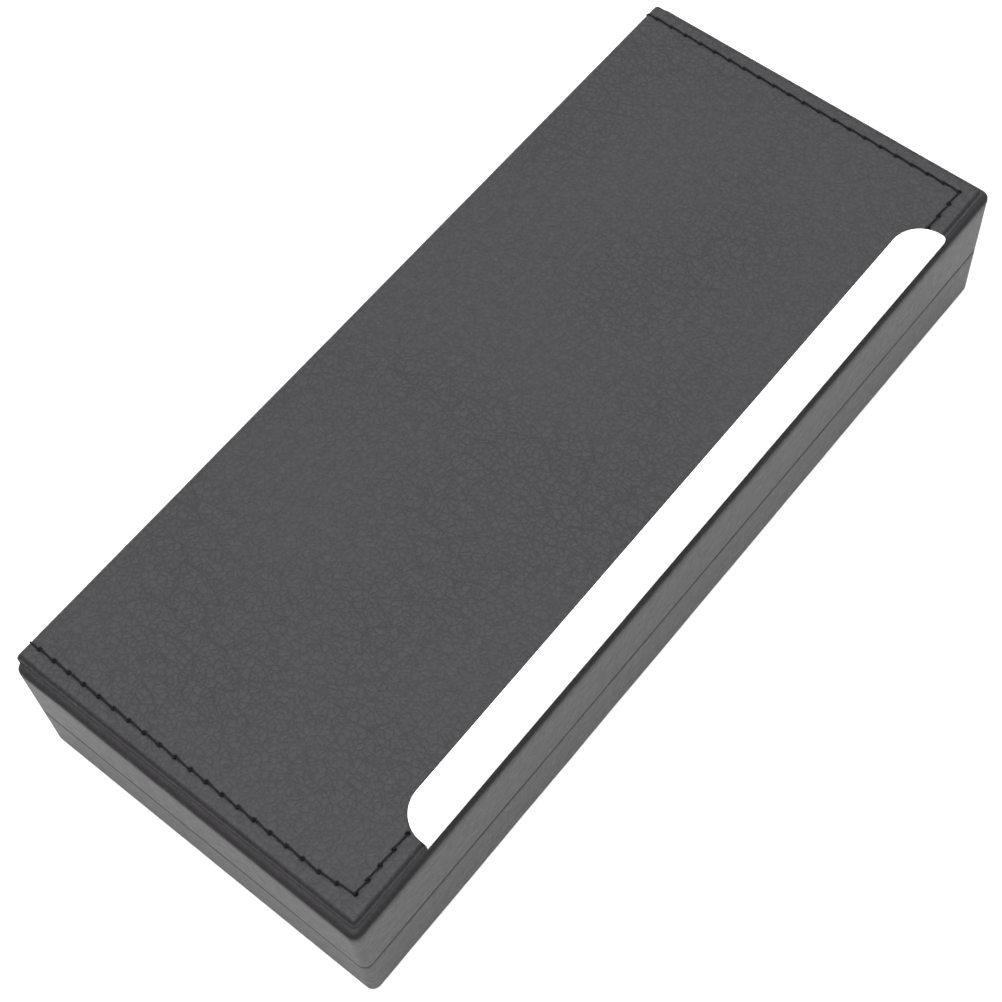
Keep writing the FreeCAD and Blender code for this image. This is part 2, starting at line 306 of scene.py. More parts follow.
def place(tree, stored=True):
    """Where a point is at rest: stored on the pieces made here, and the CAD nodes' own coordinates."""
    if stored:
        return add(
            tree, "ShaderNodeAttribute", attribute_name="rest", attribute_type="GEOMETRY"
        ).outputs["Vector"]
    return add(tree, "ShaderNodeTexCoord").outputs["Object"]


def mark(tree, key):
    return add(
        tree, "ShaderNodeAttribute", attribute_name=key, attribute_type="GEOMETRY"
    ).outputs["Fac"]


def noise_at(tree, where, scale, detail=2.0, roughness=0.5):
    return add(
        tree,
        "ShaderNodeTexNoise",
        {"Vector": where, "Scale": scale, "Detail": detail, "Roughness": roughness},
    )


def warped(tree, where, scale, amount):
    """The place moved about by noise, so that a pattern on it turns irregular."""
    drift = noise_at(tree, where, scale, 2.0).outputs["Color"]
    centred = add(
        tree, "ShaderNodeVectorMath", {0: drift, 1: (0.5, 0.5, 0.5)}, operation="SUBTRACT"
    ).outputs[0]
    scaled = add(
        tree, "ShaderNodeVectorMath", {0: centred, "Scale": amount}, operation="SCALE"
    ).outputs[0]
    return add(tree, "ShaderNodeVectorMath", {0: where, 1: scaled}, operation="ADD").outputs[0]


def stretched(tree, where, factors, turn=(0, 0, 0)):
    return add(
        tree, "ShaderNodeMapping", {"Vector": where, "Scale": factors, "Rotation": turn}
    ).outputs[0]


def edge_lines(tree, where, scale, width):
    """1 on the borders of irregular cells, 0 inside them."""
    cells = add(
        tree,
        "ShaderNodeTexVoronoi",
        {"Vector": where, "Scale": scale, "Randomness": 1.0},
        feature="DISTANCE_TO_EDGE",
    )
    return remap(tree, cells.outputs["Distance"], 0.0, width, 1.0, 0.0, smooth=True)


def bump(tree, shader, height, distance, strength=1.0):
    node = add(
        tree, "ShaderNodeBump", {"Height": height, "Distance": distance, "Strength": strength}
    )
    tree.links.new(node.outputs[0], shader.inputs["Normal"])


def flat_noise(tree, where, scale, detail=1.0, roughness=0.5):
    """Noise on the flat sheet."""
    node = noise_at(tree, where, scale, detail, roughness)
    node.noise_dimensions = "2D"
    return node


def flat_cells(tree, where, scale):
    """Distance to the border of irregular cells on the flat sheet."""
    return add(
        tree,
        "ShaderNodeTexVoronoi",
        {"Vector": where, "Scale": scale, "Randomness": 1.0},
        feature="DISTANCE_TO_EDGE",
        voronoi_dimensions="2D",
    ).outputs["Distance"]


def leather_material(name, colour, relief):
    """Charcoal leatherette: pebbles about 3 mm across, fine cracks between them, and longer creases."""
    material, tree, shader = new_material(name, Specular_Tint=(1.0, 0.98, 1.0, 1.0), IOR=LEATHER_IOR)
    at = add(
        tree, "ShaderNodeAttribute", attribute_name="flat", attribute_type="GEOMETRY"
    ).outputs["Vector"]
    drift = flat_noise(tree, at, 150.0, 2.0).outputs["Color"]
    shift = add(
        tree,
        "ShaderNodeVectorMath",
        {0: drift, 1: (0.0036, 0.0036, 0.0), 2: at},
        operation="MULTIPLY_ADD",
    ).outputs[0]
    fine = flat_noise(tree, at, 1300.0, 2.0, 0.65).outputs["Fac"]
    ragged = math_node(tree, "MULTIPLY_ADD", fine, 0.3, -0.15)
    border = math_node(tree, "ADD", flat_cells(tree, shift, 370.0), ragged)
    cracks = remap(tree, border, -0.04, 0.17, 1.0, 0.0, smooth=True)
    domes = remap(tree, border, 0.0, 0.55, 0.0, 1.0, smooth=True)
    drawn = stretched(tree, shift, (1.0, 0.4, 1.0), (0, 0, 0.75))
    creases = math_node(tree, "MULTIPLY_ADD", ragged, 0.4, flat_cells(tree, drawn, 130.0))
    creases = remap(tree, creases, 0.0, 0.07, 1.0, 0.0, smooth=True)
    patches = flat_noise(tree, at, 11.0, 2.0, 0.55).outputs["Fac"]
    cracked = remap(tree, patches, 0.3, 0.7, 0.6, 1.0, smooth=True)
    creased = remap(tree, patches, 0.35, 0.7, 0.25, 0.9, smooth=True)
    lines = math_node(tree, "MULTIPLY", cracks, cracked)
    lines = math_node(
        tree, "MAXIMUM", lines, math_node(tree, "MULTIPLY", creases, creased)
    )
    height = math_node(tree, "MULTIPLY_ADD", lines, -0.6, domes)
    height = math_node(tree, "MULTIPLY_ADD", fine, 0.35, height)
    bump(tree, shader, height, relief, 0.7)

    deep = tuple(0.7 * c for c in colour)
    light = tuple(1.18 * c for c in colour)
    tone = mix_colours(tree, remap(tree, fine, 0.25, 0.75), tuple(0.88 * c for c in colour), light)
    tone = mix_colours(tree, math_node(tree, "MULTIPLY", lines, 0.42), tone, deep)
    shaded = mark(tree, "shaded")
    tone = mix_colours(tree, shaded, tone, SHADED_LEATHER)
    dark = mark(tree, "dark")
    tone = mix_colours(tree, dark, tone, HOLE_COLOUR)
    tree.links.new(tone, shader.inputs["Base Color"])
    shine = math_node(tree, "MULTIPLY_ADD", lines, -0.3 * LEATHER_SHINE, LEATHER_SHINE)
    drawn_out = stretched(tree, at, (1.0, 1.25, 1.0))
    streaks = flat_noise(tree, drawn_out, 240.0, 3.0, 0.7).outputs["Fac"]
    varied = remap(tree, streaks, 0.3, 0.7, 1.0 - MOTTLE, 1.0 + MOTTLE)
    shine = math_node(tree, "MULTIPLY", shine, varied)
    lit = math_node(tree, "SUBTRACT", 1.0, dark)
    lit = math_node(tree, "MULTIPLY_ADD", shaded, -0.88, lit)
    lit = math_node(tree, "MAXIMUM", lit, 0.0)
    shine = math_node(tree, "MULTIPLY", shine, lit)
    tree.links.new(shine, shader.inputs["Specular IOR Level"])
    rough = remap(tree, streaks, 0.3, 0.7, 0.44 + 0.5 * MOTTLE, 0.5 - 0.5 * MOTTLE)
    rough = math_node(tree, "MULTIPLY_ADD", fine, 0.1, rough)
    tree.links.new(rough, shader.inputs["Roughness"])
    return material


def suede_material(name, colour):
    """Short-napped lining with brushed patches and fine fuzz."""
    material, tree, shader = new_material(
        name, Roughness=0.95, Sheen_Weight=0.3, Sheen_Roughness=0.5, Specular_IOR_Level=0.2
    )
    at = place(tree)
    nap = noise_at(tree, warped(tree, at, 60.0, 0.012), 90.0, 3.0, 0.6).outputs["Fac"]
    fuzz = noise_at(tree, at, 1100.0, 3.0, 0.7).outputs["Fac"]
    low = tuple(0.86 * c for c in colour)
    high = tuple(1.12 * c for c in colour)
    tone = mix_colours(tree, remap(tree, nap, 0.35, 0.65), low, high)
    deep = tuple(0.62 * c for c in colour)
    tone = mix_colours(tree, remap(tree, fuzz, 0.35, 0.7, 0.0, 0.6), tone, deep)
    tree.links.new(tone, shader.inputs["Base Color"])
    height = math_node(tree, "MULTIPLY_ADD", nap, 0.5, fuzz)
    bump(tree, shader, height, 0.0005, 0.7)
    return material


def felt_material(name, colour):
    """Matted felt with crossing fibres."""
    material, tree, shader = new_material(
        name, Roughness=0.97, Sheen_Weight=0.3, Specular_IOR_Level=0.15
    )
    at = place(tree)
    one = noise_at(tree, stretched(tree, at, (1.0, 0.12, 1.0), (0, 0, 0.7)), 1500.0, 2.0)
    two = noise_at(tree, stretched(tree, at, (0.12, 1.0, 1.0), (0, 0, 0.3)), 1500.0, 2.0)
    fibres = math_node(tree, "MAXIMUM", one.outputs["Fac"], two.outputs["Fac"])
    blots = noise_at(tree, at, 60.0, 3.0).outputs["Fac"]
    tone = mix_colours(tree, remap(tree, fibres, 0.4, 0.75), colour, tuple(2.0 * c for c in colour))
    tone = mix_colours(tree, remap(tree, blots, 0.35, 0.7, 0.0, 0.4), tone, colour)
    tree.links.new(tone, shader.inputs["Base Color"])
    bump(tree, shader, fibres, 0.00025, 0.7)
    return material


def thread_material(name):
    """Waxed black sewing thread."""
    material, tree, shader = new_material(
        name, Roughness=0.7, Specular_IOR_Level=0.08
    )
    at = place(tree)
    fibres = noise_at(tree, at, 5200.0, 2.0).outputs["Fac"]
    tone = mix_colours(
        tree, remap(tree, fibres, 0.3, 0.7), (0.006, 0.006, 0.007), (0.016, 0.015, 0.017)
    )
    tree.links.new(tone, shader.inputs["Base Color"])
    bump(tree, shader, fibres, 0.00008, 0.8)
    return material


def plate_material(name):
    """Satin-polished metal with a faint brushed grain along its length."""
    material, tree, shader = new_material(name, Metallic=1.0, Anisotropic=0.25)
    at = place(tree)
    grain = noise_at(tree, stretched(tree, at, (14.0, 2600.0, 2600.0)), 1.0, 3.0).outputs["Fac"]
    haze = noise_at(tree, at, 14.0, 2.0).outputs["Fac"]
    tone = mix_colours(
        tree, remap(tree, grain, 0.3, 0.7), (0.90, 0.90, 0.905), (0.97, 0.97, 0.975)
    )
    tree.links.new(tone, shader.inputs["Base Color"])
    rough = math_node(tree, "MULTIPLY_ADD", grain, 0.08, remap(tree, haze, 0.3, 0.7, 0.4, 0.46))
    tree.links.new(rough, shader.inputs["Roughness"])
    bump(tree, shader, grain, 0.00001, 0.5)
    return material


def board_material(name):
    """Grey chipboard with flecks of fibre."""
    material, tree, shader = new_material(name, Roughness=0.92, Specular_IOR_Level=0.2)
    at = place(tree, stored=False)
    pulp = noise_at(tree, at, 700.0, 4.0, 0.65).outputs["Fac"]
    flecks = edge_lines(tree, warped(tree, at, 300.0, 0.002), 520.0, 0.07)
    tone = mix_colours(tree, remap(tree, pulp, 0.3, 0.7), (0.23, 0.21, 0.18), (0.38, 0.36, 0.32))
    tone = mix_colours(tree, math_node(tree, "MULTIPLY", flecks, 0.3), tone, (0.12, 0.1, 0.08))
    tree.links.new(tone, shader.inputs["Base Color"])
    bump(tree, shader, pulp, 0.0001, 0.6)
    return material


def magnet_material(name):
    """Nickel-plated bar with fine scratches."""
    material, tree, shader = new_material(name, Metallic=1.0)
    at = place(tree, stored=False)
    grain = noise_at(tree, stretched(tree, at, (60.0, 1800.0, 1800.0)), 1.0, 3.0).outputs["Fac"]
    tone = mix_colours(tree, remap(tree, grain, 0.3, 0.7), (0.5, 0.49, 0.47), (0.66, 0.65, 0.63))
    tree.links.new(tone, shader.inputs["Base Color"])
    tree.links.new(remap(tree, grain, 0.3, 0.7, 0.22, 0.4), shader.inputs["Roughness"])
    bump(tree, shader, grain, 0.00002, 0.5)
    return material


def tape_material(name):
    """Matt double-sided tape."""
    material, tree, shader = new_material(name, Roughness=0.8, Specular_IOR_Level=0.3)
    at = place(tree, stored=False)
    cloudy = noise_at(tree, at, 240.0, 3.0).outputs["Fac"]
    tone = mix_colours(tree, remap(tree, cloudy, 0.3, 0.7), (0.1, 0.1, 0.1), (0.16, 0.16, 0.16))
    tree.links.new(tone, shader.inputs["Base Color"])
    bump(tree, shader, cloudy, 0.00005, 0.5)
    return material


leather = leather_material("leatherette", PANEL_LEATHER, PANEL_RELIEF)
wrap_leather = leather_material("wrap_leatherette", WRAP_LEATHER, WRAP_RELIEF)
lining = suede_material("lining_suede", SUEDE)
felt = felt_material("underside_felt_cloth", FELT)
thread = thread_material("waxed_thread")
metal = plate_material("satin_plate")
board = board_material("grey_board")
magnet = magnet_material("nickel")
tape = tape_material("mount_tape")


# ---------------------------------------------------------------- trays


def plan_outline(low, high, inset):
    """Points round the trays' rounded plan at an inset, the same in number and order for every inset."""
    radius = max(CORNER - inset, LEAST_CORNER)
    x0, x1, y0, y1 = low.x + inset, high.x - inset, low.y + inset, high.y - inset
    centres = [
        (x1 - radius, y0 + radius, -90),
        (x1 - radius, y1 - radius, 0),
        (x0 + radius, y1 - radius, 90),
        (x0 + radius, y0 + radius, 180),
    ]
    corners = [arc((x, y), radius, angle, angle + 90, CORNER_STEPS) for x, y, angle in centres]
    points = []
    for index, corner in enumerate(corners):
        after = corners[(index + 1) % 4]
        count = SHORT_SIDE_STEPS if index % 2 == 0 else LONG_SIDE_STEPS
        share = (np.arange(1, count) / count)[:, None]
        points += [corner, corner[-1] + (after[0] - corner[-1]) * share]
    return np.roll(np.concatenate(points), -BACK_MIDDLE, axis=0)


def sweep(low, high, section):
    """Grid of points of a section swept round the trays' plan. The section is (inset, z) points."""
    rows = []
    for inset, z in section:
        outline = plan_outline(low, high, inset)
        rows.append(np.column_stack([outline, np.full(len(outline), z)]))
    return np.array(rows)


def wrap_section(height, face_radius):
    """A wrap's cross-section as (inset, depth from the rim), and how freely each point may ripple."""
    rim = RIM_RADIUS
    inner = RIM_INNER_RADIUS
    core = face_radius - SKIN
    centre = (face_radius, height - face_radius)
    outer = np.concatenate(
        [
            [(WALL, TURN_IN)],
            straight((WALL, TURN_IN), (WALL, inner), 2.5 * MM),
            arc((WALL - inner, inner), inner, 0, -90, 3),
            arc((rim, rim), rim, -90, -180, 5),
            straight((0, rim), (0, height - face_radius), 1.3 * MM),
            arc(centre, face_radius, 180, 90, 7),
            straight((face_radius, height), (FACE_TURN_IN, height), 2.0 * MM),
            [(FACE_TURN_IN, height)],
        ]
    )
    hidden = np.concatenate(
        [
            [(FACE_TURN_IN, height - SKIN)],
            arc(centre, core, 90, 180, 4),
            [(SKIN, SKIN), (WALL - SKIN, SKIN), (WALL - SKIN, TURN_IN)],
        ]
    )
    free = np.concatenate([np.ones(len(outer)), np.zeros(len(hidden))])
    free[0] = free[len(outer) - 1] = 0
    return np.concatenate([outer, hidden]), free


def shaded_band(section, height, face_radius):
    """How dark each point of the lid's section is, by its distance from the start of the turned edge."""
    inset, depth = section[:, 0], section[:, 1]
    turn = face_radius * math.pi / 2
    on_turn = np.arctan2(depth - height + face_radius, face_radius - inset) * face_radius
    below = np.where(inset > 0, turn - on_turn, turn + height - face_radius - depth)
    band = EDGE_SHADE * np.exp(-(((below - SHADE_MIDDLE) / SHADE_HALF) ** 2))
    band[(inset > face_radius) | (depth < 3 * face_radius)] = 0
    return band


def tray_wrap(name, node, body, face_radius, seed):
    """Leatherette wrap of one tray, with softly uneven faces and rim."""
    low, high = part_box(node)
    rim_z, face_z = (high.z, low.z) if body == "base" else (low.z, high.z)
    inward = 1 if face_z > rim_z else -1
    section, free = wrap_section(high.z - low.z, face_radius)
    grid = sweep(low, high, [(inset, rim_z + inward * depth) for inset, depth in section])
    normals = grid_normals(grid, close_rows=True, close_columns=True)
    ripples = 0.07 * MM * ripple(grid, 28 * MM, seed) + 0.03 * MM * ripple(grid, 9 * MM, seed)
    ripples = ripples.reshape(grid.shape[:2]) * free[:, None]
    on_face = np.abs(grid[..., 2] - face_z) < 1e-6
    ripples[on_face] = 0 if body == "base" else ripples[on_face] * 0.4
    depth_inside = section[:, 0][:, None] > 0.9 * MM
    ripples[np.broadcast_to(depth_inside, ripples.shape) & ~on_face] *= 0.2
    axis = np.sign(normals[len(section) // 3, 10, 1])  # makes the normals look outward
    grid = grid + normals * axis * ripples[..., None]
    shaded = np.zeros(grid.shape[:2])
    if body == "lid":
        shaded[:] = shaded_band(section, high.z - low.z, face_radius)[:, None]
    rows, columns = grid.shape[:2]
    faces = grid_faces(rows, columns, close_rows=True, close_columns=True)
    outline = plan_outline(low, high, 0.0)
    flat = np.zeros_like(grid)
    flat[..., 0] = distances(outline)[None, :]
    flat[..., 1] = distances(section)[:, None] + 0.5 * seed
    marks = {"shaded": shaded.ravel(), "dark": np.zeros(shaded.size)}
    piece = make_piece(name, grid, faces, wrap_leather, marks=marks, flat=flat)
    face_outward(piece)
    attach(piece, body)
    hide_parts(node)
    return piece


tray_wrap("base_wrap", "base_leather_wrap", "base", BOTTOM_EDGE_RADIUS, 1.0)
tray_wrap("lid_wrap", "lid_leather_wrap", "lid", TOP_EDGE_RADIUS, 2.0)


# ---------------------------------------------------------------- panel and hinge leather

panel_low, panel_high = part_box("top_panel_leather")
hinge_low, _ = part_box("base_hinge_leather")
base_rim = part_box("base_leather_wrap")[1].z
lid_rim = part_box("lid_leather_wrap")[0].z
seam_z = (base_rim + lid_rim) / 2

EDGE_LEFT = panel_low.x + PANEL_EDGE
EDGE_RIGHT = panel_high.x - PANEL_EDGE
EDGE_FRONT = panel_low.y + PANEL_EDGE
TOP_Z = panel_high.z
BACK_Y = panel_high.y
FLAT = BACK_Y - BACK_EDGE - EDGE_FRONT
TURN = BACK_EDGE * math.pi / 2
END = FLAT + TURN + TOP_Z - BACK_EDGE - hinge_low.z


def down_back(z):
    """Distance along the sheet, from the start of its flat top, to a height on its back run."""
    return FLAT + TURN + TOP_Z - BACK_EDGE - z


def along_top(y):
    return y - EDGE_FRONT


def sheet_profile(v):
    """Height and depth of the sheet's outer face and its normal, at distances along it: y, z, ny, nz."""
    v = np.asarray(v, float)
    angle = np.clip((v - FLAT) / BACK_EDGE, 0, math.pi / 2)
    ny, nz = np.sin(angle), np.cos(angle)
    y = np.where(v < FLAT, EDGE_FRONT + v, BACK_Y - BACK_EDGE + BACK_EDGE * ny)
    z = np.where(
        v < FLAT + TURN, TOP_Z - BACK_EDGE + BACK_EDGE * nz, TOP_Z - BACK_EDGE - (v - FLAT - TURN)
    )
    groove = GROOVE_DEPTH * np.exp(-(((z - seam_z) / GROOVE_HALF) ** 2))
    return y - np.where(v > FLAT + TURN, groove, 0), z, ny, nz


def sheet_point(x, v, lift):
    """Point above the sheet's outer face by lift."""
    y, z, ny, nz = sheet_profile(v)
    return np.stack(np.broadcast_arrays(x, y + ny * lift, z + nz * lift), -1)


def holes_between(start, end):
    """Needle holes, evenly spaced, from one (x, v) to another."""
    start, end = np.array(start, float), np.array(end, float)
    count = max(1, round(float(np.linalg.norm(end - start)) / PITCH))
    return start + (end - start) * (np.arange(count + 1) / count)[:, None]


plate_low, plate_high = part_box("front_plate")
front_v = along_top(FRONT_Y)
lid_foot_v = down_back(seam_z + SEAM_MARGIN)
base_head_v = down_back(seam_z - SEAM_MARGIN)
foot_v = down_back(FOOT_Z)


def wander(row):
    """Holes of a row, moved to the right near the panel's front left corner."""
    apart = np.hypot(row[:, 0] - LEFT_X, row[:, 1] - front_v)
    row[:, 0] += CORNER_SHIFT * (1 - smooth_step(0, CORNER_REACH, apart))
    return row


LID_ROWS = [
    wander(holes_between((LEFT_X, front_v), (LEFT_X, lid_foot_v))),
    holes_between((RIGHT_X, front_v), (RIGHT_X, lid_foot_v)),
    wander(holes_between((LEFT_X, front_v), (plate_low.x - 0.4 * MM, front_v))),
    holes_between((RIGHT_X, front_v), (plate_high.x + 0.4 * MM, front_v)),
]
BASE_ROWS = [
    holes_between((LEFT_X, foot_v), (LEFT_X, base_head_v)),
    holes_between((RIGHT_X, foot_v), (RIGHT_X, base_head_v)),
    holes_between((LEFT_X, foot_v), (RIGHT_X, foot_v)),
]


def with_fill(values, widest):
    """Sorted values with more between them wherever a gap is wider than widest, and near twins dropped."""
    values = np.unique(np.round(np.asarray(values, float), 7))
    kept = [values[0]]
    for value in values[1:]:
        gap = value - kept[-1]
        if gap < 0.17 * MM:
            continue
        count = max(1, math.ceil(gap / widest))
        kept += [kept[-1] + gap * k / count for k in range(1, count)] + [value]
    return np.array(kept)


def around(centres, offsets):
    return (np.asarray(centres)[:, None] + np.asarray(offsets)[None, :] * MM).ravel()


def drop_at(s):
    """How far out and down a point of a turned edge is, at distance s from the flat top."""
    round_part = PANEL_EDGE * math.pi / 2
    angle = np.clip(s, 0, round_part) / PANEL_EDGE
    out = PANEL_EDGE * np.sin(angle)
    down = PANEL_EDGE * (1 - np.cos(angle)) + np.maximum(s - round_part, 0)
    return out, down


def distance_to_row(x, v, row):
    """Distance of each point of the sheet from the line through a row of holes."""
    nearest = np.full(x.shape, 1.0)
    for (x0, v0), (x1, v1) in zip(row[:-1], row[1:]):
        dx, dv = x1 - x0, v1 - v0
        t = np.clip(((x - x0) * dx + (v - v0) * dv) / (dx * dx + dv * dv), 0, 1)
        nearest = np.minimum(nearest, np.hypot(x - x0 - t * dx, v - v0 - t * dv))
    return nearest


FINE = [-1.5, -1.05, -0.7, -0.35, 0, 0.35, 0.7, 1.05, 1.5]  # offsets beside a row of stitches, in mm
NEAR_HOLE = [-1.1, -0.6, 0, 0.6, 1.1]


def sheet_columns():
    """Where the sheet's points stand from left to right, closer together at the stitches."""
    xs = np.concatenate(
        [
            [EDGE_LEFT, EDGE_RIGHT],
            around([LEFT_X, RIGHT_X], FINE),
            np.linspace(LEFT_X, LEFT_X + CORNER_SHIFT + 1.2 * MM, 8),
            around(LID_ROWS[2][:, 0], NEAR_HOLE),
            around(LID_ROWS[3][:, 0], NEAR_HOLE),
            BASE_ROWS[2][:, 0],
        ]
    )
    return with_fill(xs, 3.0 * MM)


def sheet_rows():
    """Where the sheet's points stand along it, closer together at the stitches, the bend and the seam."""
    vs = np.concatenate(
        [
            [0, FLAT, END],
            FLAT + np.linspace(0, TURN, 8),
            around([front_v, foot_v], FINE),
            around(LID_ROWS[0][:, 1], NEAR_HOLE),
            around(BASE_ROWS[0][:, 1], NEAR_HOLE),
            down_back(seam_z) + np.linspace(-4, 4, 15) * MM,
        ]
    )
    return with_fill(vs[vs <= END], 3.0 * MM)


def sheet_relief(grid, flat_x, flat_v):
    """How far each point of the flat sheet is lifted, and how dark it is in a needle hole."""
    lift = 0.05 * MM * ripple(grid, 34 * MM, 3.0) + 0.025 * MM * ripple(grid, 8 * MM, 4.0)
    lift = lift.reshape(grid.shape[:2])
    groove = np.zeros(grid.shape[:2])
    for row in LID_ROWS + BASE_ROWS:
        beside = distance_to_row(flat_x, flat_v, row)
        groove = np.maximum(groove, np.exp(-((beside / ROW_HALF) ** 2)))
    lift = lift - ROW_DEPTH * groove
    apart = np.full(grid.shape[:2], 1.0)
    for x, v in np.concatenate(LID_ROWS + BASE_ROWS):
        apart = np.minimum(apart, np.hypot(flat_x - x, flat_v - v))
    lift = lift - HOLE_DEPTH * np.exp(-((apart / HOLE) ** 4))
    lift = lift - 0.06 * MM * np.exp(-((apart / (2.2 * MM)) ** 2))
    return lift, np.exp(-((apart / HOLE) ** 6))


def hinge_sheet():
    """The panel's leather, its turned edges, its run over the back and the hinge, as one closed sheet."""
    edge = PANEL_EDGE * math.pi / 2
    drop = edge + PANEL_DROP - PANEL_EDGE
    drops = np.array([0.2, 0.4, 0.6, 0.8, 1.0]) * edge
    drops = np.append(drops, [edge + 0.35 * (drop - edge), edge + 0.7 * (drop - edge), drop])
    xs, vs = sheet_columns(), sheet_rows()
    x_drop = np.concatenate([drops[::-1], np.zeros(len(xs)), drops])
    x_side = np.concatenate([-np.ones(len(drops)), np.zeros(len(xs)), np.ones(len(drops))])
    x_all = np.concatenate([np.full(len(drops), xs[0]), xs, np.full(len(drops), xs[-1])])
    v_drop = np.concatenate([drops[::-1], np.zeros(len(vs))])
    v_all = np.concatenate([np.zeros(len(drops)), vs])

    side = x_drop[None, :]
    front = v_drop[:, None]
    out, down = drop_at(np.maximum(side, front))
    both = (side > 0) & (front > 0)
    share = np.where(
        side >= front,
        0.5 * front / np.maximum(side, 1e-9),
        1 - 0.5 * side / np.maximum(front, 1e-9),
    )
    angle = np.where(both, share, np.where(front > 0, 1.0, 0.0)) * math.pi / 2
    y, z, ny, nz = (a[:, None] for a in sheet_profile(v_all))
    back_share = smooth_step(FLAT, FLAT + TURN, v_all)[:, None]
    down = down * (1 - back_share * (1 - SHEET / PANEL_DROP))
    grid = np.stack(
        [
            x_all[None, :] + x_side[None, :] * out * np.cos(angle),
            y - out * np.sin(angle) * (front > 0) - ny * down,
            z - nz * down,
        ],
        -1,
    )

    flat_x = np.broadcast_to(x_all[None, :], grid.shape[:2])
    flat_v = np.broadcast_to(v_all[:, None], grid.shape[:2])
    top = np.exp(-((side / (0.5 * MM)) ** 2)) * np.exp(-((front / (0.5 * MM)) ** 2))
    lift, dark = sheet_relief(grid, flat_x, flat_v)
    lift = lift * top
    grid[..., 1] += ny * lift
    grid[..., 2] += nz * lift

    thin = np.exp(-(((z - seam_z) / (2.4 * MM)) ** 4)) * (v_all[:, None] > FLAT + TURN)
    thickness = SHEET - (SHEET - FOLD_SHEET) * thin
    thickness = np.broadcast_to(thickness, grid.shape[:2])
    points, faces = shell(grid, thickness * 0.98)
    past = np.maximum(side, front)
    shaded = 0.85 * EDGE_SHADE * np.exp(-(((past - 0.45 * edge) / (0.36 * edge)) ** 2)) * (past > 0)
    marks = {
        "shaded": np.tile(np.broadcast_to(shaded, grid.shape[:2]).ravel(), 2),
        "dark": np.tile(dark.ravel(), 2),
    }
    flat = np.stack([flat_x + x_side * side, flat_v - front, np.zeros_like(flat_v)], -1)
    flat = np.tile(flat.reshape(-1, 3), (2, 1))
    piece = make_piece("panel_and_hinge_leather", points, faces, leather, 55, marks, flat)
    face_outward(piece)
    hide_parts("top_panel_leather", "base_hinge_leather", "hinge_fold")
    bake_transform(piece)
    return piece


hinge_sheet()


# ---------------------------------------------------------------- stitching


def stitch_mesh(a, b, first, phase):
    """Points and faces of one stitch between two needle holes, twisted and sunk at its ends."""
    rings, sides = 17, 9
    t = np.linspace(0, 1, rings)
    near_end = np.minimum(t, 1 - t)
    lift = 0.06 * MM - 0.8 * MM * (1 - smooth_step(0.04, 0.17, near_end))
    lift += 0.05 * MM * np.sin(math.pi * t)
    along = (b - a) / np.linalg.norm(b - a)
    across = np.array([along[1], -along[0]])
    slant = THREAD_SLANT * (2 * t - 1)
    spots = a + (b - a) * t[:, None] + across * slant[:, None]
    line = sheet_point(spots[:, 0], spots[:, 1], lift)
    _, _, ny, nz = sheet_profile(spots[:, 1])
    up = np.stack([np.zeros(rings), ny, nz], -1)
    ahead = np.gradient(line, axis=0)
    ahead /= np.linalg.norm(ahead, axis=1, keepdims=True)
    right = np.cross(ahead, up)
    right /= np.linalg.norm(right, axis=1, keepdims=True)
    up = np.cross(right, ahead)
    turn = np.arange(sides) * 2 * math.pi / sides
    radius = THREAD_RADIUS * (1 + 0.16 * np.cos(3 * turn[None, :] + 9 * t[:, None] + phase))
    ring = (
        line[:, None, :]
        + right[:, None, :] * (radius * np.cos(turn))[..., None]
        + up[:, None, :] * (radius * np.sin(turn))[..., None]
    )
    faces = grid_faces(rings, sides, close_columns=True, first=first)
    faces.append([first + k for k in range(sides)][::-1])
    faces.append([first + (rings - 1) * sides + k for k in range(sides)])
    return ring.reshape(-1, 3), faces


def stitching(name, rows, body, node):
    points, faces, count = [], [], 0
    for row_index, row in enumerate(rows):
        for index in range(len(row) - 1):
            phase = 2.4 * index + row_index
            made, made_faces = stitch_mesh(row[index], row[index + 1], count, phase)
            points.append(made)
            faces += made_faces
            count += len(made)
    piece = make_piece(name, np.concatenate(points), faces, thread, 70)
    face_outward(piece)
    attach(piece, body)
    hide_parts(node)
    return piece


stitching("panel_thread", LID_ROWS, "lid", "top_stitching")
stitching("hinge_thread", BASE_ROWS, "base", "base_stitching")


# ---------------------------------------------------------------- plate


